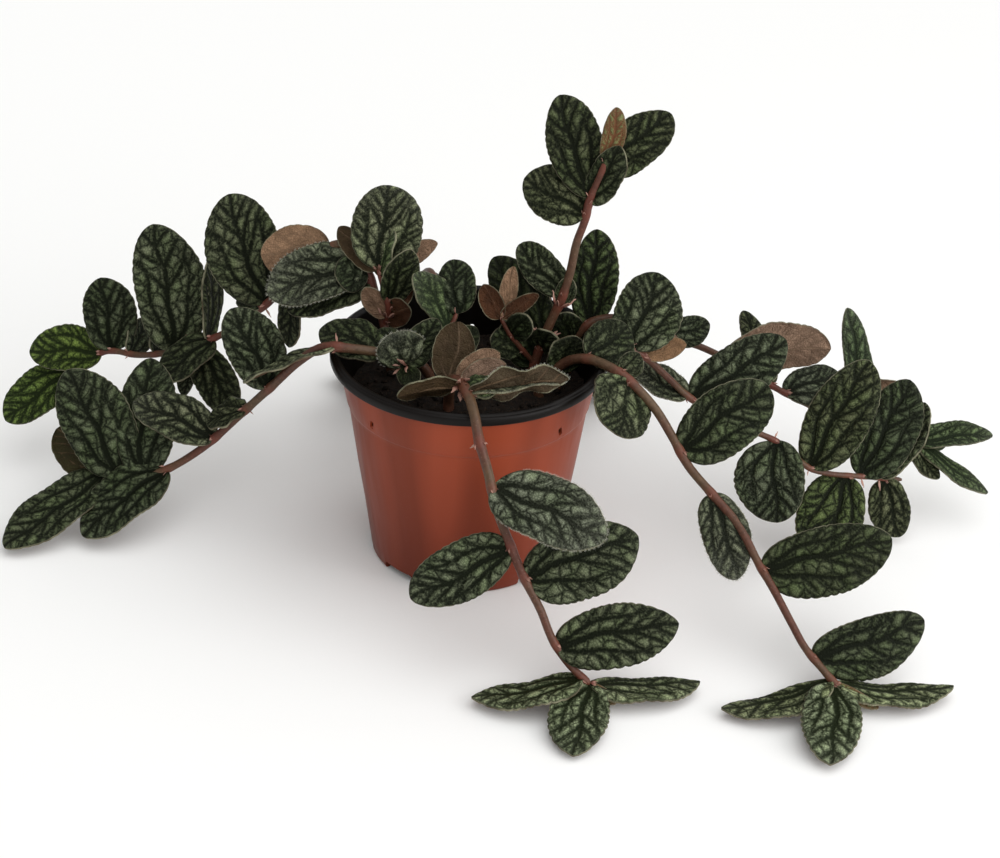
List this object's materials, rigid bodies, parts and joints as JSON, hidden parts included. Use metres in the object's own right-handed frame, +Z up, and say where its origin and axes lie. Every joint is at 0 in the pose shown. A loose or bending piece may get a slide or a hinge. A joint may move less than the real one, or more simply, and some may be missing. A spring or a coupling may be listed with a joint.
{
  "type": "potted trailing begonia",
  "caption": "Trailing watermelon begonia in a terracotta plastic nursery pot, with arching leafy stems that hang to the floor round it.",
  "frame": {"origin": "middle of the pot's flat base, on the floor", "axes": "+Z up, -Y towards the front of the plant, +X to its right as seen from the front"},
  "size_m": [0.462, 0.3202, 0.2014],
  "materials": {
    "pot": "terracotta thermoformed plastic",
    "soil": "dark potting soil",
    "leafy_stems": "living leaves and stems"
  },
  "bodies": {
    "root": {"pot": "pot", "soil": "soil", "stem_left_front": "leafy_stems", "stem_left_back": "leafy_stems", "stem_front": "leafy_stems", "stem_right_front": "leafy_stems", "stem_right_middle": "leafy_stems", "stem_right_back": "leafy_stems", "stem_upright": "leafy_stems", "stem_behind_left": "leafy_stems", "stem_behind_right": "leafy_stems"}
  },
  "joints": []
}
